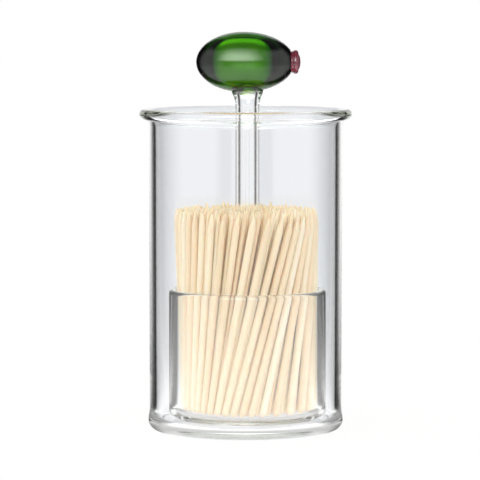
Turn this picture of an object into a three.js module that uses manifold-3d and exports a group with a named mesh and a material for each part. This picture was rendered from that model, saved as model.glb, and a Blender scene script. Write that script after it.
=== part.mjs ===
// Glass toothpick holder: a flared jar, and a glass lifter that raises a cup of toothpicks by its olive.
// Lengths are millimetres and angles are degrees. +Z is up, the jar stands on z = 0 and -Y is the front.

import * as THREE from 'three';
import { mergeVertices } from 'three/addons/utils/BufferGeometryUtils.js';
import Module from 'manifold-3d';

// Fits between pieces
const fitGap = 0.3;
const cutOverrun = 2;

// Outer jar, with the flared and fire-polished lip at its mouth, and a foot that swells a little where the
// floor is fused on
const jarDiameter = 63;
const jarWall = 2.1;
const jarHeight = 104.9;
const jarFloor = 2.4;
const jarHeel = 3.2;
const jarInnerHeel = 2.8;
const jarSwell = 0.35;
const jarSwellHeight = 7.5;
const jarStandWidth = 10.8;
const jarPunt = 0.6;
const lipBend = 3;
const lipTurn = 48;
const lipStraight = 0.2;
const lipBead = 1.75;

// Inner cup, which stands on the jar's floor and holds the toothpicks
const cupPlay = 3.6;
const cupAside = 0.6;
const cupWall = 2.6;
const cupHeight = 43.3;
const cupFloor = 2.5;
const cupHeel = 4;
const cupInnerHeel = 3.2;
const weldRadius = 6.4;
const weldDepth = 0.8;

// Stem tube, from the cup's floor to the trumpet neck under the olive
const stemDiameter = 8.1;
const stemBore = 4.6;
const footFlare = 1.55;
const footEdge = 0.3;
const neckFlare = 1.15;
const neckLength = 3.9;
const neckBoreFlare = 0.3;

// Hollow olive, whose blunt end is at -X and whose cut end at +X carries the pimento. Its glass is thin round
// its waist and thick at both ends
const oliveDiameter = 19.7;
const oliveBluntLength = 15.5;
const oliveTaperLength = 16.7;
const oliveCutLength = 15.3;
const oliveWall = 2;
const oliveBluntWall = 4.5;
const oliveCutWall = 4.6;
const hollowSquareness = 2.5;
const oliveAboveJar = 5.4;
const oliveAside = 1.25;

// Pimento disc, with a waist at the olive, a round lip, a dished face and a low dome at its middle
const pimentoDiameter = 7.9;
const pimentoNeck = 6.9;
const pimentoLength = 3.3;
const pimentoLip = 0.95;
const pimentoDish = 0.2;
const pimentoDome = 5.2;
const pimentoDomeHeight = 0.9;

// Toothpicks, and the swirled bundle that they make in the cup
const pickLength = 65;
const pickDiameter = 2.1;
const pickTipLength = 5;
const pickTipDiameter = 0.7;
const leastPickTilt = 3;
const mostPickTilt = 14.5;
const steepestSide = 20;
const steepPatchSharpness = 3;
const coreTilt = 7;
const bundleLean = 0.8;
const mostRingPicks = 50;
const closestPicks = 0.15;

// Facets
const jarFacets = 48;
const cupFacets = 40;
const stemFacets = 24;
const oliveFacets = 32;
const pimentoFacets = 20;
const pickFacets = 6;
const placingSteps = 1440;

// Sizes that follow from those above
const jarRadius = jarDiameter / 2;
const jarFootRadius = jarRadius + jarSwell;
const jarBore = jarRadius - jarWall;
const cupRadius = jarBore - cupPlay;
const cupBore = cupRadius - cupWall;
const stemRadius = stemDiameter / 2;
const stemFoot = cupFloor + fitGap;
const footRadius = stemRadius + footFlare;
const neckRadius = stemRadius + neckFlare;
const neckBoreRadius = stemBore / 2 + neckBoreFlare;
const oliveRadius = oliveDiameter / 2;
const lifterBase = jarFloor + fitGap;
const oliveHeight = jarHeight + oliveAboveJar + oliveRadius - lifterBase;
const pickRadius = pickDiameter / 2;
const halfPick = pickLength / 2;
const halfShank = halfPick - pickTipLength;

const radians = THREE.MathUtils.degToRad;

const glassClear = { color: 0xe8eef0, roughness: 0.05, metalness: 0, transparent: true, opacity: 0.35 };
const glassGreen = { color: 0x4a8a20, roughness: 0.08, metalness: 0, transparent: true, opacity: 0.7 };
const glassRed = { color: 0xa04155, roughness: 0.1, metalness: 0, transparent: true, opacity: 0.85 };
const birchWood = { color: 0xfbe8c8, roughness: 0.75, metalness: 0 };

const wasm = await Module();
wasm.setup();

// A closed geometry as a solid that can be cut
function solidOf(geometry) {
  const bare = geometry.clone();
  bare.deleteAttribute('normal');
  bare.deleteAttribute('uv');
  const merged = mergeVertices(bare);
  return new wasm.Manifold(new wasm.Mesh({
    numProp: 3,
    vertProperties: new Float32Array(merged.attributes.position.array),
    triVerts: new Uint32Array(merged.index.array),
  }));
}

function geometryOf(solid) {
  const { vertProperties, triVerts } = solid.getMesh();
  const geometry = new THREE.BufferGeometry();
  geometry.setAttribute('position', new THREE.BufferAttribute(vertProperties, 3));
  geometry.setIndex(new THREE.BufferAttribute(triVerts, 1));
  geometry.computeVertexNormals();
  return geometry;
}

// Points of an arc, as [across, along], with its angles in degrees counter-clockwise from +across
function arc(across, along, radius, from, to, steps) {
  return Array.from({ length: steps + 1 }, (_, step) => {
    const angle = radians(from + (to - from) * step / steps);
    return [across + radius * Math.cos(angle), along + radius * Math.sin(angle)];
  });
}

// A section turned about its along axis, which is left on +Y
function turned(section, facets) {
  return new THREE.LatheGeometry(section.map(([across, along]) => new THREE.Vector2(across, along)), facets);
}

function turnedUpright(section, facets) {
  return turned(section, facets).rotateX(Math.PI / 2);
}

function turnedSideways(section, facets) {
  return turned(section, facets).rotateZ(-Math.PI / 2);
}

function piece(name, geometry, finish) {
  const mesh = new THREE.Mesh(geometry, new THREE.MeshStandardMaterial(finish));
  mesh.name = name;
  return mesh;
}

// Half section of a flat-bottomed vessel: out from a dent under its middle, round the given heel, up the
// outside, over the given rim and back down to the middle of its floor
function vesselSection({ bore, floor, innerHeel, dentRadius, dentDepth, heel, rim }) {
  const dent = [0, 1 / 3, 2 / 3, 1].map((share) => [dentRadius * share, dentDepth * (1 - share * share)]);
  return [
    ...dent,
    ...heel,
    ...rim,
    ...arc(bore - innerHeel, floor + innerHeel, innerHeel, 0, -90, 5),
    [0, floor],
  ];
}

// The jar's heel, with the swell of its foot above it dying away into the straight wall
function swollenHeel() {
  const swell = [0.25, 0.5, 0.75, 1].map((share) => [
    jarRadius + jarSwell * (1 + Math.cos(Math.PI * share)) / 2,
    jarHeel + (jarSwellHeight - jarHeel) * share,
  ]);
  return [...arc(jarFootRadius - jarHeel, jarHeel, jarHeel, -90, 0, 5), ...swell];
}

// The wall bends out round the lip's own centre, runs straight for a little and ends in a round bead
function flaredRim() {
  const turn = radians(lipTurn);
  const halfWall = jarWall / 2;
  const beadNeck = Math.sqrt(lipBead ** 2 - halfWall ** 2);
  const beadRun = beadNeck + lipStraight;
  const midBend = lipBend + halfWall;
  const beadHeight = jarHeight - lipBead;
  const bendHeight = beadHeight - midBend * Math.sin(turn) - beadRun * Math.cos(turn);
  const bendAcross = jarRadius + lipBend;
  const beadAcross = bendAcross - midBend * Math.cos(turn) + beadRun * Math.sin(turn);
  const neckAngle = THREE.MathUtils.radToDeg(Math.asin(halfWall / lipBead));
  const backAngle = 270 - lipTurn;
  return [
    ...arc(bendAcross, bendHeight, lipBend, 180, 180 - lipTurn, 4),
    ...arc(beadAcross, beadHeight, lipBead, backAngle + neckAngle - 360, backAngle - neckAngle, 11),
    ...arc(bendAcross, bendHeight, lipBend + jarWall, 180 - lipTurn, 180, 4),
  ];
}

function outerJar() {
  const section = vesselSection({
    bore: jarBore,
    floor: jarFloor,
    innerHeel: jarInnerHeel,
    dentRadius: jarFootRadius - jarHeel - jarStandWidth,
    dentDepth: jarPunt,
    heel: swollenHeel(),
    rim: flaredRim(),
  });
  return piece('outer_jar', turnedUpright(section, jarFacets), glassClear);
}

function innerCup() {
  const halfWall = cupWall / 2;
  const section = vesselSection({
    bore: cupBore,
    floor: cupFloor,
    innerHeel: cupInnerHeel,
    dentRadius: weldRadius,
    dentDepth: weldDepth,
    heel: arc(cupRadius - cupHeel, cupHeel, cupHeel, -90, 0, 5),
    rim: arc(cupRadius - halfWall, cupHeight - halfWall, halfWall, 0, 180, 6),
  });
  return piece('inner_cup', turnedUpright(section, cupFacets), glassClear);
}

// Half section of the olive's outside, as [across, along], with its ellipses grown by the given skin
function oliveSection(skin) {
  const across = oliveRadius + skin;
  const blunt = oliveBluntLength + skin;
  const taper = oliveTaperLength + skin;
  const cutAngle = Math.asin(oliveCutLength / taper);
  const bluntHalf = Array.from({ length: 7 }, (_, step) => {
    const angle = -Math.PI / 2 + Math.PI / 2 * step / 7;
    return [across * Math.cos(angle), blunt * Math.sin(angle)];
  });
  const cutHalf = Array.from({ length: 7 }, (_, step) => {
    const angle = cutAngle * step / 6;
    return [across * Math.cos(angle), taper * Math.sin(angle)];
  });
  return [...bluntHalf, ...cutHalf, [0, oliveCutLength]];
}

// Half section of the hollow: half of a squarish ellipse towards each end
function hollowSection() {
  const power = 2 / hollowSquareness;
  const across = oliveRadius - oliveWall;
  const turnShares = [-1, -0.94, -0.82, -0.65, -0.45, -0.22, 0, 0.22, 0.45, 0.65, 0.82, 0.94, 1];
  return turnShares.map((share) => {
    const angle = Math.PI / 2 * share;
    const length = share < 0 ? oliveBluntLength - oliveBluntWall : oliveCutLength - oliveCutWall;
    return [
      across * Math.max(0, Math.cos(angle)) ** power,
      length * Math.sign(share) * Math.abs(Math.sin(angle)) ** power,
    ];
  });
}

function olivePlaced(section) {
  return turnedSideways(section, oliveFacets).translate(-oliveAside, 0, oliveHeight);
}

// The stem's bore opens into the hollow of the olive
function oliveShell() {
  const outside = solidOf(olivePlaced(oliveSection(0)));
  const hollow = solidOf(olivePlaced(hollowSection()));
  const boreFrom = oliveHeight - oliveRadius - cutOverrun;
  const boreSection = [
    [0, boreFrom],
    [neckBoreRadius, boreFrom],
    [neckBoreRadius, oliveHeight],
    [0, oliveHeight],
  ];
  const bore = solidOf(turnedUpright(boreSection, stemFacets));
  return piece('olive_shell', geometryOf(outside.subtract(hollow).subtract(bore)), glassGreen);
}

// The trumpet neck is cut to the olive's own curve
function stemTube() {
  const neckTop = oliveHeight - oliveRadius;
  const neckFrom = neckTop - neckLength;
  const tubeTop = oliveHeight - oliveRadius / 2;
  const boreRadius = stemBore / 2;
  const neckBend = (neckLength ** 2 + neckFlare ** 2) / (2 * neckFlare);
  const neckTurn = THREE.MathUtils.radToDeg(Math.asin(neckLength / neckBend));
  const section = [
    [boreRadius, stemFoot],
    [footRadius, stemFoot],
    ...arc(footRadius, stemFoot + footEdge + footFlare, footFlare, 270, 180, 4),
    ...arc(stemRadius + neckBend, neckFrom, neckBend, 180, 180 - neckTurn, 4),
    [neckRadius, tubeTop],
    [neckBoreRadius, tubeTop],
    [neckBoreRadius, neckTop],
    [boreRadius, neckFrom],
    [boreRadius, stemFoot],
  ];
  const tube = solidOf(turnedUpright(section, stemFacets));
  const seat = solidOf(olivePlaced(oliveSection(fitGap)));
  return piece('stem_tube', geometryOf(tube.subtract(seat)), glassClear);
}

function pimento() {
  const radius = pimentoDiameter / 2;
  const dishAlong = pimentoLength - pimentoDomeHeight;
  const lipAlong = dishAlong + pimentoDish - pimentoLip;
  const dome = [1, 0.85, 0.5, 0].map((share) => [
    pimentoDome / 2 * share,
    dishAlong + pimentoDomeHeight * Math.sqrt(1 - share * share),
  ]);
  const section = [
    [0, 0],
    [pimentoNeck / 2, 0],
    ...arc(radius - pimentoLip, lipAlong, pimentoLip, -50, 100, 7),
    ...dome,
  ];
  const geometry = turnedSideways(section, pimentoFacets);
  geometry.translate(oliveCutLength + fitGap - oliveAside, 0, oliveHeight);
  return piece('pimento', geometry, glassRed);
}

// The bundle leans to -X, and is in the middle of the cup halfway up the inside of it
const leanSlope = Math.tan(radians(bundleLean));
const leanMiddle = (cupFloor + cupHeight) / 2;
const leanRoom = leanSlope * (cupHeight - leanMiddle);

// How far from the bundle's middle the middle line of an outer pick may be where its shank ends
const ringReach = cupBore - fitGap - leanRoom - pickRadius;

// The tips of the outer picks stand on the round inner heel of the cup, clear of it by the fit
const footReach = Math.hypot(waistRadius(radians(mostPickTilt)), Math.tan(radians(mostPickTilt)) * halfPick);
const tipOverHeel = footReach + pickTipDiameter / 2 + leanRoom + fitGap - (cupBore - cupInnerHeel);
const heelRise = cupInnerHeel - Math.sqrt(Math.max(0, cupInnerHeel ** 2 - Math.max(0, tipOverHeel) ** 2));
const pickFoot = cupFloor + Math.max(fitGap, heelRise);

function leanAt(height) {
  return leanSlope * (leanMiddle - height);
}

// Sideways tilt of an outer pick, by its angle from the front: steepest in one patch at the front right
function pickTilt(angle) {
  const patch = Math.exp(steepPatchSharpness * (Math.cos(angle - radians(steepestSide)) - 1));
  return radians(leastPickTilt + (mostPickTilt - leastPickTilt) * patch);
}

// Radius of a tilted pick at its middle, so that the end of its shank touches the cup's wall
function waistRadius(tilt) {
  return Math.sqrt(ringReach ** 2 - (Math.tan(tilt) * halfShank) ** 2);
}

// Angles of the outer picks, each with the room that its width and its turn against the next one need
function ringAngles() {
  const step = 2 * Math.PI / placingSteps;
  const room = Array.from({ length: placingSteps }, (_, index) => {
    const angle = index * step;
    const tilt = pickTilt(angle);
    const turnToNext = Math.abs(pickTilt(angle + step) - tilt);
    const length = waistRadius(tilt) * Math.cos(tilt) * step - turnToNext * halfPick;
    return length / (pickDiameter + closestPicks);
  });
  const total = room.reduce((sum, part) => sum + part, 0);
  const count = Math.min(mostRingPicks, Math.floor(total));
  const angles = [];
  let filled = 0;
  room.forEach((part, index) => {
    if (filled >= angles.length * total / count && angles.length < count) {
      angles.push(index * step);
    }
    filled += part;
  });
  return angles;
}

function toothpickGeometry() {
  const tipRadius = pickTipDiameter / 2;
  const section = [
    [0, -halfPick],
    [tipRadius, -halfPick],
    [pickRadius, -halfShank],
    [pickRadius, halfShank],
    [tipRadius, halfPick],
    [0, halfPick],
  ];
  return turnedUpright(section, pickFacets);
}

// Outer picks, numbered from the front round to the right, each tilted sideways along the ring
function ringPicks() {
  const geometry = toothpickGeometry();
  const up = new THREE.Vector3(0, 0, 1);
  return ringAngles().map((angle, index) => {
    const tilt = pickTilt(angle);
    const radius = waistRadius(tilt);
    const height = pickFoot + halfPick * Math.cos(tilt);
    const rise = new THREE.Vector3(Math.cos(angle), Math.sin(angle), 0).multiplyScalar(Math.tan(tilt));
    rise.x -= leanSlope;
    const pick = piece(`toothpick_${String(index + 1).padStart(2, '0')}`, geometry, birchWood);
    pick.position.set(radius * Math.sin(angle) + leanAt(height), -radius * Math.cos(angle), height);
    pick.quaternion.setFromUnitVectors(up, rise.add(up).normalize());
    return pick;
  });
}

// Cells of a honeycomb that lie wholly between two radii, keyed by their column and row
function honeycombCells(innerRadius, outerRadius) {
  const cells = new Map();
  const cornerRadius = pickDiameter / Math.sqrt(3);
  const most = Math.ceil(outerRadius / pickDiameter) * 2;
  for (let row = -most; row <= most; row += 1) {
    for (let column = -most; column <= most; column += 1) {
      const middle = [pickDiameter * (column + row / 2), pickDiameter * row * Math.sqrt(3) / 2];
      const corners = Array.from({ length: 6 }, (_, corner) => {
        const angle = radians(60 * corner - 30);
        return [middle[0] + cornerRadius * Math.cos(angle), middle[1] + cornerRadius * Math.sin(angle)];
      });
      const reaches = corners.map(([x, y]) => Math.hypot(x, y));
      if (Math.min(...reaches) >= innerRadius && Math.max(...reaches) <= outerRadius) {
        cells.set(`${column},${row}`, { column, row, middle, corners });
      }
    }
  }
  return cells;
}

// Inner picks, packed side by side as one swirled honeycomb with a pointed tip on each end of each cell,
// round a hole that the stem stands in. They stand on the cup's floor
function toothpickCore() {
  const coreReach = waistRadius(radians(mostPickTilt)) - pickRadius - fitGap;
  const swirlRate = Math.tan(radians(coreTilt)) / coreReach;
  const halfHeight = halfPick * Math.cos(radians(coreTilt));
  const halfShankHeight = halfShank * Math.cos(radians(coreTilt));
  const middleHeight = cupFloor + fitGap + halfHeight;
  const cells = honeycombCells(footRadius + fitGap + leanRoom, coreReach);
  const sides = [[1, 0], [0, 1], [-1, 1], [-1, 0], [0, -1], [1, -1]];
  const corners = [];
  const swirled = ([x, y], along) => [
    x - swirlRate * along * y + leanAt(middleHeight + along),
    y + swirlRate * along * x,
    middleHeight + along,
  ];
  for (const { column, row, middle, corners: outline } of cells.values()) {
    sides.forEach(([columnStep, rowStep], side) => {
      const start = outline[side];
      const end = outline[(side + 1) % 6];
      const lowStart = swirled(start, -halfShankHeight);
      const lowEnd = swirled(end, -halfShankHeight);
      const highStart = swirled(start, halfShankHeight);
      const highEnd = swirled(end, halfShankHeight);
      corners.push(lowEnd, lowStart, swirled(middle, -halfHeight));
      corners.push(highStart, highEnd, swirled(middle, halfHeight));
      if (!cells.has(`${column + columnStep},${row + rowStep}`)) {
        corners.push(lowStart, lowEnd, highEnd);
        corners.push(lowStart, highEnd, highStart);
      }
    });
  }
  const geometry = new THREE.BufferGeometry();
  geometry.setAttribute('position', new THREE.Float32BufferAttribute(corners.flat(), 3));
  const merged = mergeVertices(geometry);
  merged.computeVertexNormals();
  return piece('toothpick_core', merged, birchWood);
}

function lifter() {
  const group = new THREE.Group();
  group.position.set(cupAside, 0, lifterBase);
  group.add(innerCup(), stemTube(), oliveShell(), pimento(), toothpickCore(), ...ringPicks());
  return group;
}

const holder = new THREE.Group();
holder.add(outerJar(), lifter());

export default holder;
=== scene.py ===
"""Glass toothpick holder: the looks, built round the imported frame.

Lengths are in metres, written as millimetres times MM. The angles named here are in degrees.
"""

import math
import random

import bpy
import numpy as np
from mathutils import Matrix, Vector

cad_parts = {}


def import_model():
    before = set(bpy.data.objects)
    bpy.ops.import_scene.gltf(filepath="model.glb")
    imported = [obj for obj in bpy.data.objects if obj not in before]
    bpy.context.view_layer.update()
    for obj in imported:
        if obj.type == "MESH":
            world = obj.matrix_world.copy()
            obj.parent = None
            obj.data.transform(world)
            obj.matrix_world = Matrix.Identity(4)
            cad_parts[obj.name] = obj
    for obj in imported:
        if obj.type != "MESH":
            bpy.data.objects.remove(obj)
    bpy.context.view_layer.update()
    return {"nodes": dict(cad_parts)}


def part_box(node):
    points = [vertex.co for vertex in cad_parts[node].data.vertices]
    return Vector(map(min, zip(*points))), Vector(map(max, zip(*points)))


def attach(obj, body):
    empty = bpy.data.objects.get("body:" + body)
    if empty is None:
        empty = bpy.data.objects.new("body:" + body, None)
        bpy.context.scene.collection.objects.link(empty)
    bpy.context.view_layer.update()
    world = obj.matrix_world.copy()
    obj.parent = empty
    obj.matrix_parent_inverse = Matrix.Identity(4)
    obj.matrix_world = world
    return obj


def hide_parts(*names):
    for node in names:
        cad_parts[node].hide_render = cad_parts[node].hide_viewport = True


MM = 0.001

# The photograph's camera: its distance, height and side step from the jar's axis, what it looks at, and how
# near and far it sees
CAMERA_DISTANCE = 1030 * MM
CAMERA_HEIGHT = 140 * MM
CAMERA_ASIDE = -1.83 * MM
AIM_HEIGHT = 62 * MM
VIEW_WIDTH = 157 * MM
SENSOR_WIDTH = 36
CAMERA_REACH = (10 * MM, 20000 * MM)

# Outer jar
JAR_RADIUS = 31.5 * MM
JAR_WALL = 2.1 * MM
JAR_FLOOR = 2.4 * MM
JAR_HEEL = 3.2 * MM
JAR_INNER_HEEL = 2.8 * MM
JAR_SWELL = 0.35 * MM
JAR_SWELL_HEIGHT = 7.5 * MM
JAR_STAND_WIDTH = 10.8 * MM
JAR_PUNT = 0.6 * MM
LIP_BEND = 3 * MM
LIP_TURN = 48
LIP_STRAIGHT = 0.2 * MM
LIP_BEAD = 1.75 * MM

# Inner cup
CUP_WALL = 2.6 * MM
CUP_FLOOR = 2.5 * MM
CUP_HEEL = 4 * MM
CUP_INNER_HEEL = 3.2 * MM
WELD_RADIUS = 6.4 * MM
WELD_DEPTH = 0.8 * MM

# Stem tube
STEM_RADIUS = 4.05 * MM
STEM_BORE = 2.3 * MM
STEM_FOOT_EDGE = 0.3 * MM
NECK_FLARE = 1.15 * MM
NECK_LENGTH = 3.9 * MM
NECK_BORE_FLARE = 0.3 * MM
STEM_SHARP_ANGLE = 40

# Olive
OLIVE_BLUNT = 15.5 * MM
OLIVE_TAPER = 16.7 * MM
HOLLOW_RADIUS = 7.85 * MM
HOLLOW_BLUNT = 11 * MM
HOLLOW_TAPER = 10.7 * MM
HOLLOW_POWER = 2.5
OLIVE_SHARP_ANGLE = 35

# Pimento
PIMENTO_NECK = 3.45 * MM
PIMENTO_LIP = 0.95 * MM
PIMENTO_LIP_TURN = (-50, 100)
PIMENTO_DISH = 0.2 * MM
PIMENTO_DOME = 2.6 * MM
PIMENTO_DOME_HEIGHT = 0.9 * MM
PIMENTO_DOME_SHARES = (1, 0.97, 0.9, 0.8, 0.65, 0.5, 0.3, 0.15, 0)
PIMENTO_SHARP_ANGLE = 60

# One toothpick. A pair of its shoulder is a share of the pick's radius, and a share of the taper past the
# shoulder. A pair of its point is a share of the tip's radius, and another of it back from the very end.
PICK_RADIUS = 1.05 * MM
MOST_PICK_RADIUS = 1.13 * MM
SLIM_PICK_RADIUS = 0.8 * MM
PICK_TAPER = 5 * MM
PICK_TIP_RADIUS = 0.34 * MM
PICK_FOOT_TAPER = 1.6 * MM
PICK_FOOT_TIP_RADIUS = 0.65 * MM
SHOULDER_SHARES = ((1, -0.12), (0.985, 0.12), (0.82, 0.45))
POINT_SHARES = ((1, 0.8), (0.75, 0.2))
GRAIN_SHIFT = 9

# CAD points that agree to this many decimals of a metre are one
MERGE_DIGITS = 7

# The bundle of toothpicks
TOP_SPREAD = 1.06
FOOT_REACH = 0.8 * MM
FIRST_RING_IN = 1.2 * MM
RING_STEP = 1.75 * MM
NESTED_RINGS = 2
NESTED_SHAKE = 0.03
FREE_SHAKE = 0.1
INNER_SPACING = 2.15 * MM
CORE_CLEARANCE = 1.9 * MM
TOP_SWAY = 0.3 * MM
TOP_RISE = 0.7 * MM
FOOT_RISE_SHARE = 0.3

# How far pieces that are fused on the real object reach into each other, so that no gap mirrors between them,
# and how far off the cup's rim the toothpicks stay
HAIR = 0.03 * MM

# Sides of the turned pieces, and steps along the curves of their sections
JAR_SIDES = 192
CUP_SIDES = 160
OLIVE_SIDES = 128
STEM_SIDES = 96
PIMENTO_SIDES = 96
BORE_SIDES = 64
PICK_SIDES = 14
DENT_STEPS = 8
HEEL_STEPS = 20
SWELL_STEPS = 12
INNER_HEEL_STEPS = 16
LIP_BEND_STEPS = 12
LIP_BEAD_STEPS = 40
CUP_RIM_STEPS = 20
STEM_FOOT_STEPS = 12
NECK_STEPS = 16
NECK_TOP_STEPS = 6
NECK_BORE_STEPS = 8
OLIVE_BLUNT_STEPS = 40
OLIVE_TAPER_STEPS = 32
HOLLOW_STEPS = 72
PIMENTO_LIP_STEPS = 24

SEED = 7

# Glass: how it bends light, its tints, how dense they are to a metre of depth, and the red glass's clouds
GLASS_IOR = 1.474
CLEAR_TINT = (0.925, 0.96, 0.87)
CLEAR_DENSITY = 12.0
GREEN_TINT = (0.556, 0.77, 0.167)
GREEN_DENSITY = 1700.0
RED_DARK = (0.18, 0.018, 0.036, 1)
RED_LIGHT = (0.33, 0.055, 0.1, 1)
RED_CLOUDS = (0.35, 0.7)

# Wood: the darkest, middle and palest pick, the streaks along them, and how far light glows in the wood
BIRCH_DARK = (0.86, 0.70, 0.47, 1)
BIRCH_MIDDLE = (0.93, 0.80, 0.57, 1)
BIRCH_MIDDLE_SHARE = 0.4
BIRCH_PALE = (0.95, 0.86, 0.68, 1)
STREAK_COLOUR = (0.78, 0.55, 0.33, 1)
STREAK_STRETCH = (2.6, 2.6, 0.09)
STREAK_EDGES = (0.45, 0.75)
STREAK_SHARE = 0.55
STREAK_RELIEF = 0.08 * MM
WOOD_GLOW_REACH = 0.9 * MM

# The studio. A pair says where a shade begins and ends to change: degrees off straight behind the object,
# degrees above the horizon, or metres from the jar's axis. The camera sees white all round.
COOL_WHITE = (0.93, 0.955, 1.0, 1)
FLOOR_REACH = 6000 * MM
FLOOR_GLOW = 0.88
FLOOR_ALBEDO = 0.13

# Straight through the glass: a white floor with painted shade at both sides, a wall above the horizon that
# is a little greyer than white, and behind the object a bright strip of ceiling over the wall
FLOOR_GLOW_THROUGH = 0.74
# Where the painted shade on the floor's sides begins and ends, and how much of the floor's glow it takes
THROUGH_SIDES_FROM = (32, 50)
THROUGH_SIDES_TO = (70, 85)
THROUGH_SIDES_BEYOND = (60 * MM, 120 * MM)
THROUGH_SIDES_PAINTED_SHADE = 0.35
HORIZON = (-1.9, -1.3)
WALL_SHADE = 0.85
CEILING_FROM = (8, 18)
CEILING_TO = (34, 50)
CEILING_SHINE = 3.4

# What the glass mirrors: a white window behind the object, darkness on both sides of it, a white room in
# front with a dark flag on each side of the camera, a dark ceiling, and a soft box at the front left, whose
# sides are measured from its own middle
WINDOW = (13, 31)
WINDOW_SHIFT = 1
FRONT_ROOM = (55, 100)
FRONT_SHINE = 1.2
FLAGS_FROM = (144, 150)
FLAGS_TO = (162, 168)
FLAGS_BEYOND = (300 * MM, 450 * MM)
FLAGS_DARK = 0.55
ROOM_SHADE = 0.03
DARK_CEILING = (36, 52)
CEILING_SHADE = 0.15
SOFT_BOX_SHINE = 8.0
SOFT_BOX_AZIMUTH = -10
SOFT_BOX_SIDES = (6, 50)
SOFT_BOX_FROM = (0, 10)
SOFT_BOX_TO = (18, 66)

# The mirrored floor glows with the room's light and shade painted on it, as they lie off the glass's own
# edge, a box of these half sizes. Its painted light is brightest on a sheet round the object, and painted
# shade darkens it under the jar and on the left and right of its heel.
GLASS_EDGE = (28 * MM, 10 * MM, 1)
SHEET = (170 * MM, 190 * MM)
PAINTED_SHEET_SHINE = 2.1
NEAR_FLOOR = 1.7
FLOOR_DIMS = (300 * MM, 800 * MM)
FAR_FLOOR = 1.2
UNDER = (26 * MM, 33 * MM)
PAINTED_UNDER_SHADE = 0.6
BY_HEEL = (33 * MM, 45 * MM)
HEEL_SIDES = (23 * MM, 29 * MM)
PAINTED_HEEL_SHADE = 0.8

# The light on the wood: even all round, more of it from the front left and less from overhead. The spread of
# the key light is a pair of cosines, of the angle off its direction.
FILL_LIGHT = 1.0
KEY_LIGHT = 0.5
KEY_DIRECTION = (-0.35, -0.75, 0.56)
KEY_SPREAD = (-0.2, 1.0)
OVERHEAD = (25, 65)
OVERHEAD_LOSS = 0.45


def shares(steps):
    """Even shares from 0 to 1."""
    return np.linspace(0, 1, steps + 1)


def arc(across, along, radius, start, end, steps):
    """Points (across, along) on an arc, its angles in degrees counter-clockwise from +across."""
    angles = np.radians(np.linspace(start, end, steps + 1))
    return [(across + radius * math.cos(a), along + radius * math.sin(a)) for a in angles]


def mesh_object(name, points, faces):
    """A smooth mesh object, linked to the scene."""
    mesh = bpy.data.meshes.new(name)
    mesh.from_pydata([tuple(p) for p in points], [], faces)
    mesh.validate()
    mesh.shade_smooth()
    made = bpy.data.objects.new(name, mesh)
    bpy.context.scene.collection.objects.link(made)
    return made


def row_of(points, across, sides):
    """Indices of the next row of points round an axis, which is one point where the row lies on the axis."""
    count = 1 if across == 0 else sides
    return [len(points) + k for k in range(count)]


def joined_rows(rows, sides):
    """Faces between each row and the next one."""
    faces = []
    for low, high in zip(rows, rows[1:]):
        for k in range(sides):
            following = (k + 1) % sides
            turns = ((low, k), (low, following), (high, following), (high, k))
            corners = list(dict.fromkeys(row[turn % len(row)] for row, turn in turns))
            if len(corners) > 2:
                faces.append(corners)
    return faces


def upright_at(axis_x):
    """Places points about an upright axis."""
    return lambda across, turn, along: (axis_x + across * math.cos(turn), across * math.sin(turn), along)


def lathe(name, section, sides, place):
    """A closed section of (across, along) points turned about its along axis.

    place(across, turn, along) puts a point in the frame. A section begins and ends on the axis, or joins up.
    """
    points, rows = [], []
    for across, along in section:
        rows.append(row_of(points, across, sides))
        points += [place(across, 2 * math.pi * k / sides, along) for k in range(len(rows[-1]))]
    if section[0] == section[-1]:
        points = points[:-len(rows[-1])]
        rows[-1] = rows[0]
    return mesh_object(name, points, joined_rows(rows, sides))


def vessel_section(bore, floor, inner_heel, dent_radius, dent_depth, heel, rim):
    """Out from a dent under the middle, round the heel, over the rim and back down to the floor's middle."""
    dent = [(dent_radius * s, dent_depth * (1 - s * s)) for s in shares(DENT_STEPS)]
    return [
        *dent,
        *heel,
        *rim,
        *arc(bore - inner_heel, floor + inner_heel, inner_heel, 0, -90, INNER_HEEL_STEPS),
        (0, floor),
    ]


def swollen_heel():
    """The jar's heel, with the swell of its foot above it dying away into the straight wall."""
    rise = JAR_SWELL_HEIGHT - JAR_HEEL
    swell = [
        (JAR_RADIUS + JAR_SWELL * (1 + math.cos(math.pi * s)) / 2, JAR_HEEL + rise * s)
        for s in shares(SWELL_STEPS)[1:]
    ]
    return [*arc(JAR_RADIUS + JAR_SWELL - JAR_HEEL, JAR_HEEL, JAR_HEEL, -90, 0, HEEL_STEPS), *swell]


def flared_rim(height):
    """Up the jar's outside, round the bead of its flared lip and back to the wall's inside."""
    turn = math.radians(LIP_TURN)
    half_wall = JAR_WALL / 2
    run = math.sqrt(LIP_BEAD ** 2 - half_wall ** 2) + LIP_STRAIGHT
    middle = LIP_BEND + half_wall
    bead_height = height - LIP_BEAD
    bend_height = bead_height - middle * math.sin(turn) - run * math.cos(turn)
    bend_across = JAR_RADIUS + LIP_BEND
    bead_across = bend_across - middle * math.cos(turn) + run * math.sin(turn)
    neck = math.degrees(math.asin(half_wall / LIP_BEAD))
    back = 270 - LIP_TURN
    return [
        *arc(bend_across, bend_height, LIP_BEND, 180, 180 - LIP_TURN, LIP_BEND_STEPS),
        *arc(bead_across, bead_height, LIP_BEAD, back + neck - 360, back - neck, LIP_BEAD_STEPS),
        *arc(bend_across, bend_height, LIP_BEND + JAR_WALL, 180 - LIP_TURN, 180, LIP_BEND_STEPS),
    ]


def stand_for(made, node, body, material):
    """Hides the CAD node that a new piece stands for, and gives the piece its body and its finish."""
    made.data.materials.append(material)
    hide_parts(node)
    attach(made, body)
    return made


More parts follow.
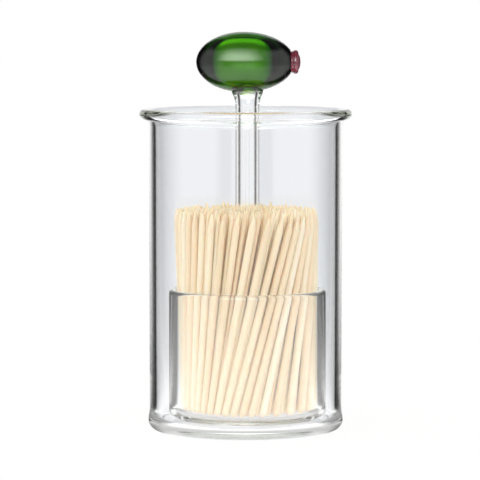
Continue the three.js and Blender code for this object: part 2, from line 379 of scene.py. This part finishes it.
def outer_jar(material):
    """The still, clear jar, about the frame's own axis."""
    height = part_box("outer_jar")[1].z
    dent_radius = JAR_RADIUS + JAR_SWELL - JAR_HEEL - JAR_STAND_WIDTH
    section = vessel_section(JAR_RADIUS - JAR_WALL, JAR_FLOOR, JAR_INNER_HEEL, dent_radius, JAR_PUNT,
                             swollen_heel(), flared_rim(height))
    made = lathe("outer_jar_glass", section, JAR_SIDES, upright_at(0))
    return stand_for(made, "outer_jar", "jar", material)


def inner_cup(axis_x, material):
    """The clear cup that holds the picks, with the weld of the stem as a dent under its middle."""
    low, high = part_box("inner_cup")
    radius = high.y
    half_wall = CUP_WALL / 2
    height = high.z - low.z
    heel = arc(radius - CUP_HEEL, CUP_HEEL, CUP_HEEL, -90, 0, HEEL_STEPS)
    rim = arc(radius - half_wall, height - half_wall, half_wall, 0, 180, CUP_RIM_STEPS)
    section = vessel_section(radius - CUP_WALL, CUP_FLOOR, CUP_INNER_HEEL, WELD_RADIUS, WELD_DEPTH, heel, rim)
    section = [(across, along + low.z) for across, along in section]
    made = lathe("inner_cup_glass", section, CUP_SIDES, upright_at(axis_x))
    return stand_for(made, "inner_cup", "lifter", material)


class Olive:
    """The olive's size and place, from its CAD node. It lies along X."""

    def __init__(self, axis_x):
        low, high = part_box("olive_shell")
        self.radius = high.y
        self.middle = Vector((low.x + OLIVE_BLUNT, 0, high.z - high.y))
        self.cut = high.x - self.middle.x
        self.axis_x = axis_x

    def outside(self):
        """Half section, from the blunt end to the middle of the cut end."""
        blunt_angles = np.linspace(-math.pi / 2, 0, OLIVE_BLUNT_STEPS + 1)[1:-1]
        cut_angles = np.linspace(0, math.asin(self.cut / OLIVE_TAPER), OLIVE_TAPER_STEPS + 1)
        blunt = [(self.radius * math.cos(a), OLIVE_BLUNT * math.sin(a)) for a in blunt_angles]
        tapered = [(self.radius * math.cos(a), OLIVE_TAPER * math.sin(a)) for a in cut_angles]
        return [(0, -OLIVE_BLUNT), *blunt, *tapered, (0, self.cut)]

    def hollow(self):
        """Half section of the hollow, rounder at its shoulders than an ellipse."""
        power = 2 / HOLLOW_POWER
        points = []
        for a in np.linspace(-math.pi / 2, math.pi / 2, HOLLOW_STEPS + 1):
            length = HOLLOW_BLUNT if a < 0 else HOLLOW_TAPER
            across = HOLLOW_RADIUS * abs(math.cos(a)) ** power
            points.append((across, math.copysign(length * abs(math.sin(a)) ** power, a)))
        return [(0, -HOLLOW_BLUNT), *points[1:-1], (0, HOLLOW_TAPER)]

    def place(self, across, turn, along):
        """Places points about the olive's axis, from its widest section."""
        return (
            self.middle.x + along,
            self.middle.y + across * math.cos(turn),
            self.middle.z + across * math.sin(turn),
        )

    def underside(self, x, y):
        """Height of the olive's underside over a point."""
        along = x - self.middle.x
        length = OLIVE_TAPER if along > 0 else OLIVE_BLUNT
        rest = 1 - (along / length) ** 2 - (y / self.radius) ** 2
        return self.middle.z - self.radius * math.sqrt(max(rest, 0))


def cut_away(made, tool):
    """Takes the tool out of the made piece."""
    cut = made.modifiers.new("cut", "BOOLEAN")
    cut.operation = "DIFFERENCE"
    cut.solver = "EXACT"
    cut.object = tool
    bpy.context.view_layer.update()
    evaluated = made.evaluated_get(bpy.context.evaluated_depsgraph_get())
    mesh = bpy.data.meshes.new_from_object(evaluated)
    made.modifiers.clear()
    made.data = mesh
    bpy.data.objects.remove(tool)


def olive_shell(olive, material):
    """The green shell, with its hollow and the hole that the stem's bore opens into."""
    made = lathe("olive_glass", olive.outside(), OLIVE_SIDES, olive.place)
    cut_away(made, lathe("hollow", olive.hollow(), OLIVE_SIDES, olive.place))
    bore = STEM_BORE + NECK_BORE_FLARE
    low = olive.middle.z - olive.radius - STEM_BORE
    bore_section = [(0, low), (bore, low), (bore, olive.middle.z), (0, olive.middle.z)]
    cut_away(made, lathe("bore", bore_section, BORE_SIDES, upright_at(olive.axis_x)))
    made.data.shade_smooth()
    made.data.set_sharp_from_angle(angle=math.radians(OLIVE_SHARP_ANGLE))
    return stand_for(made, "olive_shell", "lifter", material)


def stem_section(bottom, foot_radius, neck_top):
    """Out under the foot, up the outside and its trumpet neck, and back down the bore."""
    foot_flare = foot_radius - STEM_RADIUS
    neck_from = neck_top - NECK_LENGTH
    neck_bend = (NECK_LENGTH ** 2 + NECK_FLARE ** 2) / (2 * NECK_FLARE)
    neck_turn = math.degrees(math.asin(NECK_LENGTH / neck_bend))
    neck_bore = STEM_BORE + NECK_BORE_FLARE
    top_radii = np.linspace(STEM_RADIUS + NECK_FLARE, neck_bore, NECK_TOP_STEPS + 1)[1:]
    bore_shares = np.linspace(1, 0, NECK_BORE_STEPS + 1)[1:]
    return [
        (STEM_BORE, bottom),
        (foot_radius, bottom),
        *arc(foot_radius, bottom + STEM_FOOT_EDGE + foot_flare, foot_flare, 270, 180, STEM_FOOT_STEPS),
        *arc(STEM_RADIUS + neck_bend, neck_from, neck_bend, 180, 180 - neck_turn, NECK_STEPS),
        *[(radius, neck_top) for radius in top_radii],
        *[(STEM_BORE + NECK_BORE_FLARE * s * s, neck_from + NECK_LENGTH * s) for s in bore_shares],
        (STEM_BORE, bottom),
    ]


def stem_tube(olive, material):
    """A tube with a flared foot, whose trumpet neck follows the olive's underside."""
    low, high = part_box("stem_tube")
    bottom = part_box("inner_cup")[0].z + CUP_FLOOR - HAIR
    neck_top = olive.middle.z - olive.radius
    section = stem_section(bottom, (high.x - low.x) / 2, neck_top)
    made = lathe("stem_glass", section, STEM_SIDES, upright_at(olive.axis_x))
    for vertex in made.data.vertices:
        if vertex.co.z > neck_top - HAIR:
            vertex.co.z = olive.underside(vertex.co.x, vertex.co.y) + HAIR
    made.data.set_sharp_from_angle(angle=math.radians(STEM_SHARP_ANGLE))
    return stand_for(made, "stem_tube", "lifter", material)


def pimento(olive, material):
    """A short red disc on the olive's cut end, with a round lip, a dished face and a low dome."""
    low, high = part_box("pimento")
    radius = high.y
    dish_along = high.x - low.x - PIMENTO_DOME_HEIGHT
    lip_along = dish_along + PIMENTO_DISH - PIMENTO_LIP
    dome = [
        (PIMENTO_DOME * s, dish_along + PIMENTO_DOME_HEIGHT * math.sqrt(1 - s * s))
        for s in PIMENTO_DOME_SHARES
    ]
    section = [
        (0, 0),
        (PIMENTO_NECK / 2, 0),
        (PIMENTO_NECK, 0),
        *arc(radius - PIMENTO_LIP, lip_along, PIMENTO_LIP, *PIMENTO_LIP_TURN, PIMENTO_LIP_STEPS),
        *dome,
    ]

    def place(across, turn, along):
        return olive.place(across, turn, olive.cut - HAIR + along)

    made = lathe("pimento_glass", section, PIMENTO_SIDES, place)
    made.data.set_sharp_from_angle(angle=math.radians(PIMENTO_SHARP_ANGLE))
    return stand_for(made, "pimento", "lifter", material)


def pick_end(half, radius, taper, tip):
    """(across, along) from the shank to the point at one end of a pick."""
    shoulder = half - taper
    return [
        *[(radius * wide, shoulder + taper * past) for wide, past in SHOULDER_SHARES],
        *[(tip * wide, half - tip * back) for wide, back in POINT_SHARES],
        (0, half),
    ]


def pick_section(length, radius):
    """(across, along) of a round double-pointed pick, with soft shoulders, and blunter at its foot."""
    half = length / 2
    foot_end = pick_end(half, radius, PICK_FOOT_TAPER, PICK_FOOT_TIP_RADIUS)
    foot = [(across, -along) for across, along in reversed(foot_end)]
    return [*foot, *pick_end(half, radius, PICK_TAPER, PICK_TIP_RADIUS)]


class PickMesh:
    """The mesh of some picks, with each pick's tone and its own place in the grain on its points."""

    def __init__(self):
        self.points, self.faces, self.tones, self.grains = [], [], [], []

    def add(self, foot, top, radius, chance):
        """Adds one pick, with its own tone, turn and stretch of grain."""
        middle = (foot + top) / 2
        axis = (top - foot).normalized()
        side = axis.cross(Vector((0, 1, 0))).normalized()
        other = axis.cross(side)
        tone = chance.random()
        turn = chance.uniform(0, 2 * math.pi)
        shift = Vector([chance.uniform(0, GRAIN_SHIFT) for _ in range(3)])
        rows = []
        for across, along in pick_section((top - foot).length, radius):
            rows.append(row_of(self.points, across, PICK_SIDES))
            for k in range(len(rows[-1])):
                angle = turn + 2 * math.pi * k / PICK_SIDES
                off = Vector((across * math.cos(angle), across * math.sin(angle), along))
                self.points.append(middle + axis * off.z + side * off.x + other * off.y)
                self.tones.append(tone)
                self.grains.append(shift + off / MM)
        self.faces += joined_rows(rows, PICK_SIDES)

    def made(self, name):
        made = mesh_object(name, self.points, self.faces)
        made.data.attributes.new("tone", "FLOAT", "POINT").data.foreach_set("value", self.tones)
        grain = made.data.attributes.new("grain", "FLOAT_VECTOR", "POINT")
        grain.data.foreach_set("vector", np.array([tuple(g) for g in self.grains], np.float32).ravel())
        return made


def line_of(node):
    """Foot and top of a CAD pick's middle line."""
    points = np.array([v.co for v in node.data.vertices], float)
    middle = (points.max(0) + points.min(0)) / 2
    points = np.unique(points.round(MERGE_DIGITS), axis=0)
    direction = np.linalg.svd(points - points.mean(0))[2][0]
    direction *= np.sign(direction[2])
    along = (points - middle) @ direction
    return Vector(middle + direction * along.min()), Vector(middle + direction * along.max())


def spread(points, share):
    """Points drawn apart sideways about their middle."""
    middle = sum(points, Vector()) / len(points)
    apart = []
    for point in points:
        x = middle.x + (point.x - middle.x) * share
        y = middle.y + (point.y - middle.y) * share
        apart.append(Vector((x, y, point.z)))
    return apart


def room_at_rim(foot, top, axis_x):
    """How far a pick's middle line is from the cup's wall at the rim, and which way that wall is."""
    cup_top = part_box("inner_cup")[1]
    at_rim = foot.lerp(top, (cup_top.z - foot.z) / (top.z - foot.z))
    outward = Vector((at_rim.x - axis_x, at_rim.y, 0))
    return cup_top.y - CUP_WALL - outward.length - HAIR, outward.normalized()


def outer_picks(frame, axis_x, material, chance):
    """The picks round the outside, on their CAD nodes' middle lines but leaning out to the cup's rim.

    One that leans into the rim stands further in. Gives back the picks' (foot, top) lines.
    """
    toothpicks = (name for name in frame["nodes"] if name.startswith("toothpick_"))
    names = sorted(name for name in toothpicks if name != "toothpick_core")
    cad_lines = [line_of(frame["nodes"][name]) for name in names]
    tops = spread([top for _, top in cad_lines], TOP_SPREAD)
    lines = []
    for name, (foot, _), top in zip(names, cad_lines, tops):
        room, outward = room_at_rim(foot, top, axis_x)
        back = outward * min(room - PICK_RADIUS, 0)
        reach = (top - foot).normalized() * FOOT_REACH
        line = (foot + back - reach, top + back)
        lines.append(line)
        mesh = PickMesh()
        mesh.add(*line, min(max(room, PICK_RADIUS), MOST_PICK_RADIUS), chance)
        body = "loose_toothpick" if name == "toothpick_01" else "lifter"
        stand_for(mesh.made(f"{name}_wood"), name, body, material)
    return lines


def between(lines, at):
    """The line at a fractional place in a closed row of lines."""
    at %= len(lines)
    first = int(at)
    before, after = lines[first % len(lines)], lines[(first + 1) % len(lines)]
    return [a.lerp(b, at - first) for a, b in zip(before, after)]


def ring_radii(reach):
    """Radii of the rings inside the outer one, as far in as the stem leaves room."""
    radius = reach - FIRST_RING_IN
    while radius > STEM_RADIUS + CORE_CLEARANCE + PICK_RADIUS:
        yield radius
        radius -= RING_STEP


def inner_picks(outer, material, chance):
    """Ring upon ring of picks inside the outer one. Each ring is the outer one drawn in, so it swirls less.

    The picks of the nested rings stand in the gaps of the ring outside them, and those of the first are slim.
    """
    middles = [sum((line[end] for line in outer), Vector()) / len(outer) for end in (0, 1)]
    reach = (outer[0][0] - middles[0]).to_2d().length
    picks = []
    for ring, radius in enumerate(ring_radii(reach)):
        nested = ring < NESTED_RINGS
        count = len(outer) if nested else int(2 * math.pi * radius / INNER_SPACING)
        shake = NESTED_SHAKE if nested else FREE_SHAKE
        offset = 0 if ring % 2 else 0.5
        pick_radius = PICK_RADIUS if ring else SLIM_PICK_RADIUS
        for index in range(count):
            at = (index + offset + chance.uniform(-shake, shake)) * len(outer) / count
            drawn_in = [middle + (point - middle) * (radius / reach)
                        for middle, point in zip(middles, between(outer, at))]
            foot, top = (Vector((p.x, p.y, m.z)) for p, m in zip(drawn_in, middles))
            sway = Vector((chance.uniform(-TOP_SWAY, TOP_SWAY), chance.uniform(-TOP_SWAY, TOP_SWAY), 0))
            rise = Vector((0, 0, max(0.0, chance.gauss(0, TOP_RISE))))
            picks.append((foot + rise * FOOT_RISE_SHARE, top + sway + rise, pick_radius))
    mesh = PickMesh()
    for foot, top, pick_radius in picks:
        mesh.add(foot, top, pick_radius, chance)
    return stand_for(mesh.made("inner_toothpicks"), "toothpick_core", "lifter", material)


class Nodes:
    """Short calls for building a node tree."""

    def __init__(self, tree):
        self.tree = tree
        tree.nodes.clear()

    def add(self, kind, values=None, **settings):
        """A node with its settings. A value is an output to link or a constant."""
        node = self.tree.nodes.new(kind)
        for key, value in settings.items():
            setattr(node, key, value)
        for key, value in (values or {}).items():
            if isinstance(value, bpy.types.NodeSocket):
                self.tree.links.new(value, node.inputs[key])
            else:
                node.inputs[key].default_value = value
        return node

    def math(self, operation, first, second=0.0):
        return self.add("ShaderNodeMath", {0: first, 1: second}, operation=operation).outputs[0]

    def vector_math(self, operation, first, second=(0, 0, 0)):
        """Both outputs of a vector operation, its Vector and its Value."""
        return self.add("ShaderNodeVectorMath", {0: first, 1: second}, operation=operation).outputs

    def plus(self, first, second):
        return self.math("ADD", first, second)

    def times(self, first, second):
        return self.math("MULTIPLY", first, second)

    def rest(self, value):
        """What is left of 1."""
        return self.math("SUBTRACT", 1.0, value)

    def most(self, first, second):
        return self.math("MAXIMUM", first, second)

    def ease(self, value, pair):
        """0 below the pair, 1 above it, smooth between."""
        low, high = pair
        node = self.add("ShaderNodeMapRange", {"Value": value, "From Min": low, "From Max": high},
                        interpolation_type="SMOOTHSTEP")
        return node.outputs["Result"]

    def band(self, value, start, end):
        """1 between the pairs start and end, 0 outside them."""
        return self.math("SUBTRACT", self.ease(value, start), self.ease(value, end))

    def shine(self, kind, strength, colour=(1, 1, 1, 1)):
        return self.add(kind, {"Color": colour, "Strength": strength}).outputs[0]

    def mix_shader(self, factor, first, second):
        return self.add("ShaderNodeMixShader", {0: factor, 1: first, 2: second}).outputs[0]


def new_material(name):
    material = bpy.data.materials.new(name)
    material.use_nodes = True
    return material, Nodes(material.node_tree)


def glass(name, tint, density):
    """Clear glass that takes its colour from its depth."""
    material, nodes = new_material(name)
    shader = nodes.add("ShaderNodeBsdfPrincipled", {
        "Base Color": (1, 1, 1, 1), "Roughness": 0.0, "IOR": GLASS_IOR, "Transmission Weight": 1.0})
    depth = nodes.add("ShaderNodeVolumeAbsorption", {"Color": (*tint, 1), "Density": density})
    nodes.add("ShaderNodeOutputMaterial", {"Surface": shader.outputs[0], "Volume": depth.outputs[0]})
    return material


def red_glass():
    """Cloudy red glass under a clear skin."""
    material, nodes = new_material("pimento_red_glass")
    cloud = nodes.add("ShaderNodeTexNoise", {"Scale": 420.0, "Detail": 4.0})
    colour = nodes.add("ShaderNodeValToRGB", {"Fac": cloud.outputs["Fac"]})
    for element, position, shade in zip(colour.color_ramp.elements, RED_CLOUDS, (RED_DARK, RED_LIGHT)):
        element.position = position
        element.color = shade
    shader = nodes.add("ShaderNodeBsdfPrincipled", {
        "Base Color": colour.outputs[0], "Roughness": 0.08, "IOR": GLASS_IOR, "Transmission Weight": 0.45,
        "Coat Weight": 0.4, "Coat Roughness": 0.03})
    nodes.add("ShaderNodeOutputMaterial", {"Surface": shader.outputs[0]})
    return material


def toothpick_wood():
    """Pale birch: each pick has its own tone, with fine streaks along it."""
    material, nodes = new_material("toothpick_birch")
    tone = nodes.add("ShaderNodeAttribute", attribute_name="tone").outputs["Fac"]
    place = nodes.add("ShaderNodeAttribute", attribute_name="grain").outputs["Vector"]
    stretched = nodes.add("ShaderNodeMapping", {"Vector": place, "Scale": STREAK_STRETCH})
    streaks = nodes.add("ShaderNodeTexNoise", {
        "Vector": stretched.outputs[0], "Scale": 1.1, "Detail": 5.0, "Roughness": 0.6}).outputs["Fac"]
    base = nodes.add("ShaderNodeValToRGB", {"Fac": tone})
    ramp = base.color_ramp
    ramp.elements[0].color = BIRCH_DARK
    ramp.elements[1].color = BIRCH_PALE
    ramp.elements.new(BIRCH_MIDDLE_SHARE).color = BIRCH_MIDDLE
    streaked = nodes.times(nodes.ease(streaks, STREAK_EDGES), STREAK_SHARE)
    darker = nodes.add("ShaderNodeMix", {"Factor": streaked}, data_type="RGBA")
    nodes.tree.links.new(base.outputs[0], darker.inputs["A"])
    darker.inputs["B"].default_value = STREAK_COLOUR
    bump = nodes.add("ShaderNodeBump", {"Strength": 0.25, "Distance": STREAK_RELIEF, "Height": streaks})
    shader = nodes.add("ShaderNodeBsdfPrincipled", {
        "Base Color": darker.outputs["Result"], "Roughness": 0.62, "Normal": bump.outputs[0],
        "Subsurface Weight": 0.6, "Subsurface Radius": (1.0, 0.6, 0.35), "Subsurface Scale": WOOD_GLOW_REACH})
    nodes.add("ShaderNodeOutputMaterial", {"Surface": shader.outputs[0]})
    return material


def off_the_back(nodes, place):
    """Degrees that a direction, or a place on the floor, is off straight behind."""
    parts = nodes.add("ShaderNodeSeparateXYZ", {0: place}).outputs
    turn = nodes.times(nodes.math("ARCTAN2", parts["X"], parts["Y"]), 180 / math.pi)
    return nodes.math("ABSOLUTE", nodes.math("SUBTRACT", turn, WINDOW_SHIFT))


# In the world this is light; on the floor it is painted light and shade
def room_shade(nodes, place, front_shine, flagged):
    """Brightness of the mirrored room all round. flagged is how dark the flags beside the camera are."""
    off = off_the_back(nodes, place)
    behind = nodes.rest(nodes.ease(off, WINDOW))
    front = nodes.times(nodes.ease(off, FRONT_ROOM), front_shine)
    front = nodes.times(front, nodes.rest(nodes.times(nodes.band(off, FLAGS_FROM, FLAGS_TO), flagged)))
    return nodes.most(nodes.most(front, behind), ROOM_SHADE)


def ray_kinds(nodes):
    """Whether the path shows a picture, whether glass mirrored it on the way, and whether the camera sees it.

    A picture comes straight to the camera, or by way of glass. Any other path lights something.
    """
    path = nodes.add("ShaderNodeLightPath").outputs
    by_glass = nodes.plus(path["Is Glossy Ray"], path["Is Transmission Ray"])
    seen = nodes.math("GREATER_THAN", nodes.plus(path["Is Camera Ray"], by_glass), 0.5)
    shown = nodes.times(seen, nodes.math("LESS_THAN", path["Diffuse Depth"], 0.5))
    mirrored = nodes.math("GREATER_THAN", path["Glossy Depth"], 0.5)
    return shown, mirrored, path["Is Camera Ray"]


def world_through_glass(nodes, direction, height):
    """Brightness of the world straight through glass."""
    ceiling = nodes.ease(height, CEILING_FROM)
    wall = nodes.math("SUBTRACT", nodes.ease(height, HORIZON), ceiling)
    strip = nodes.math("SUBTRACT", ceiling, nodes.ease(height, CEILING_TO))
    strip = nodes.times(strip, room_shade(nodes, direction, 0.0, 0.0))
    shade = nodes.rest(nodes.times(wall, 1 - WALL_SHADE))
    return nodes.plus(shade, nodes.times(strip, CEILING_SHINE - 1))


def mirrored_soft_box(nodes, direction, height):
    """Brightness of the soft box, whose sides are measured from its middle."""
    parts = nodes.add("ShaderNodeSeparateXYZ", {0: direction}).outputs
    turn = nodes.math("ARCTAN2", parts["X"], nodes.times(parts["Y"], -1.0))
    aside = nodes.math("ABSOLUTE", nodes.math("SUBTRACT", turn, math.radians(SOFT_BOX_AZIMUTH)))
    across = nodes.rest(nodes.ease(aside, [math.radians(side) for side in SOFT_BOX_SIDES]))
    return nodes.times(nodes.times(across, nodes.band(height, SOFT_BOX_FROM, SOFT_BOX_TO)), SOFT_BOX_SHINE)


def mirrored_world(nodes, direction, height):
    """Brightness of the world as glass mirrors it."""
    ceiling = nodes.ease(height, DARK_CEILING)
    room = nodes.times(room_shade(nodes, direction, FRONT_SHINE, FLAGS_DARK), nodes.rest(ceiling))
    room = nodes.plus(room, nodes.times(ceiling, CEILING_SHADE))
    return nodes.most(nodes.most(room, ROOM_SHADE), mirrored_soft_box(nodes, direction, height))


def plain_light(nodes, direction, height):
    """Strength of the light that falls on anything but glass."""
    facing = nodes.vector_math("DOT_PRODUCT", direction, Vector(KEY_DIRECTION).normalized())["Value"]
    light = nodes.plus(nodes.times(nodes.ease(facing, KEY_SPREAD), KEY_LIGHT), FILL_LIGHT)
    return nodes.times(light, nodes.rest(nodes.times(nodes.ease(height, OVERHEAD), OVERHEAD_LOSS)))


def studio_world():
    """One world each for what the camera sees, what shows through glass, what glass mirrors, and light."""
    world = bpy.data.worlds.new("studio")
    bpy.context.scene.world = world
    world.use_nodes = True
    nodes = Nodes(world.node_tree)
    background = "ShaderNodeBackground"
    direction = nodes.add("ShaderNodeTexCoord").outputs["Generated"]
    upward = nodes.add("ShaderNodeSeparateXYZ", {0: direction}).outputs["Z"]
    height = nodes.times(nodes.math("ARCSINE", upward), 180 / math.pi)
    shown, mirrored, by_camera = ray_kinds(nodes)
    through = nodes.shine(background, world_through_glass(nodes, direction, height), COOL_WHITE)
    straight = nodes.mix_shader(by_camera, through, nodes.shine(background, 1.0))
    reflected = nodes.shine(background, mirrored_world(nodes, direction, height))
    picture = nodes.mix_shader(mirrored, straight, reflected)
    lit = nodes.shine(background, plain_light(nodes, direction, height))
    nodes.add("ShaderNodeOutputWorld", {"Surface": nodes.mix_shader(shown, lit, picture)})


def floor_through_glass(nodes, place, distance):
    """Brightness of the floor straight through glass, with painted shade at both sides."""
    # Painted shade: the floor's glow is cut to the left and right, further off
    sides = nodes.band(off_the_back(nodes, place), THROUGH_SIDES_FROM, THROUGH_SIDES_TO)
    sides = nodes.times(sides, nodes.ease(distance, THROUGH_SIDES_BEYOND))
    return nodes.times(nodes.rest(nodes.times(sides, THROUGH_SIDES_PAINTED_SHADE)), FLOOR_GLOW_THROUGH)


def off_the_glass(nodes, place):
    """A place on the floor, from the nearest part of the glass's edge."""
    least = tuple(-reach for reach in GLASS_EDGE)
    nearest = nodes.vector_math("MAXIMUM", place, least)["Vector"]
    nearest = nodes.vector_math("MINIMUM", nearest, GLASS_EDGE)["Vector"]
    return nodes.vector_math("SUBTRACT", place, nearest)["Vector"]


def mirrored_floor(nodes, place, distance):
    """Painted light and shade on the floor as glass mirrors it."""
    # Painted light: brightest on a sheet round the object, dimmer further off
    off_sheet = nodes.times(nodes.ease(distance, SHEET), NEAR_FLOOR - PAINTED_SHEET_SHINE)
    dims = nodes.times(nodes.ease(distance, FLOOR_DIMS), FAR_FLOOR - NEAR_FLOOR)
    front = nodes.plus(nodes.plus(off_sheet, dims), PAINTED_SHEET_SHINE)
    # Painted shade: the room's dark sides, and far off a dark flag on each side of the camera
    flagged = nodes.times(nodes.ease(distance, FLAGS_BEYOND), FLAGS_DARK)
    outside = nodes.ease(distance, UNDER)
    room = nodes.times(room_shade(nodes, off_the_glass(nodes, place), front, flagged), outside)
    # Painted shade under the jar
    under = nodes.times(nodes.rest(outside), PAINTED_UNDER_SHADE)
    # Painted shade on the floor to the left and right of the jar's heel
    aside = nodes.math("ABSOLUTE", nodes.add("ShaderNodeSeparateXYZ", {0: place}).outputs["X"])
    heel_shade_mask = nodes.times(nodes.ease(aside, HEEL_SIDES), nodes.rest(nodes.ease(distance, BY_HEEL)))
    shaded = nodes.rest(nodes.times(heel_shade_mask, PAINTED_HEEL_SHADE))
    return nodes.most(nodes.times(nodes.plus(room, under), shaded), ROOM_SHADE)


def pale_floor():
    """A glowing white floor that takes the object's shadow, with painted light and shade seen in glass."""
    corners = [(x * FLOOR_REACH, y * FLOOR_REACH, 0) for x, y in ((-1, -1), (1, -1), (1, 1), (-1, 1))]
    made = mesh_object("floor", corners, [[0, 1, 2, 3]])
    material, nodes = new_material("pale_floor")
    emission = "ShaderNodeEmission"
    place = nodes.add("ShaderNodeNewGeometry").outputs["Position"]
    distance = nodes.vector_math("LENGTH", place)["Value"]
    shown, mirrored, by_camera = ray_kinds(nodes)
    matte = nodes.add("ShaderNodeBsdfDiffuse", {"Color": (FLOOR_ALBEDO, FLOOR_ALBEDO, FLOOR_ALBEDO, 1)})
    through = nodes.shine(emission, floor_through_glass(nodes, place, distance), COOL_WHITE)
    glow = nodes.mix_shader(by_camera, through, nodes.shine(emission, FLOOR_GLOW))
    lit = nodes.add("ShaderNodeAddShader", {0: glow, 1: matte.outputs[0]}).outputs[0]
    # What glass mirrors of the floor is painted light and shade, not lit
    reflected = nodes.shine(emission, mirrored_floor(nodes, place, distance))
    surface = nodes.mix_shader(nodes.times(shown, mirrored), lit, reflected)
    nodes.add("ShaderNodeOutputMaterial", {"Surface": surface})
    made.data.materials.append(material)
    return made


def many_bounces():
    """Light passes some twenty glass surfaces before it leaves.

    Without blur, glass bends the light on the wood as sharply as the light to the camera.
    """
    cycles = bpy.context.scene.cycles
    cycles.max_bounces = 40
    cycles.transmission_bounces = 40
    cycles.glossy_bounces = 16
    cycles.diffuse_bounces = 8
    cycles.blur_glossy = 0


def photo_camera():
    """A level long-lens camera in front of the object, a little above it."""
    data = bpy.data.cameras.new("camera")
    camera = bpy.data.objects.new("camera", data)
    bpy.context.scene.collection.objects.link(camera)
    bpy.context.scene.camera = camera
    camera.location = (CAMERA_ASIDE, -CAMERA_DISTANCE, CAMERA_HEIGHT)
    look = Vector((CAMERA_ASIDE, 0, AIM_HEIGHT)) - camera.location
    camera.rotation_euler = look.to_track_quat("-Z", "Y").to_euler()
    data.sensor_width = SENSOR_WIDTH
    data.lens = SENSOR_WIDTH * look.length / VIEW_WIDTH
    data.clip_start, data.clip_end = CAMERA_REACH


def main():
    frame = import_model()
    bpy.context.scene.view_settings.view_transform = "Standard"
    chance = random.Random(SEED)
    many_bounces()
    photo_camera()
    studio_world()
    pale_floor()

    clear = glass("clear_borosilicate", CLEAR_TINT, CLEAR_DENSITY)
    green = glass("olive_green_glass", GREEN_TINT, GREEN_DENSITY)
    wood = toothpick_wood()

    cup_low, cup_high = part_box("inner_cup")
    axis_x = (cup_low.x + cup_high.x) / 2
    olive = Olive(axis_x)
    outer_jar(clear)
    inner_cup(axis_x, clear)
    stem_tube(olive, clear)
    olive_shell(olive, green)
    pimento(olive, red_glass())
    inner_picks(outer_picks(frame, axis_x, wood, chance), wood, chance)

    bpy.context.view_layer.update()


main()
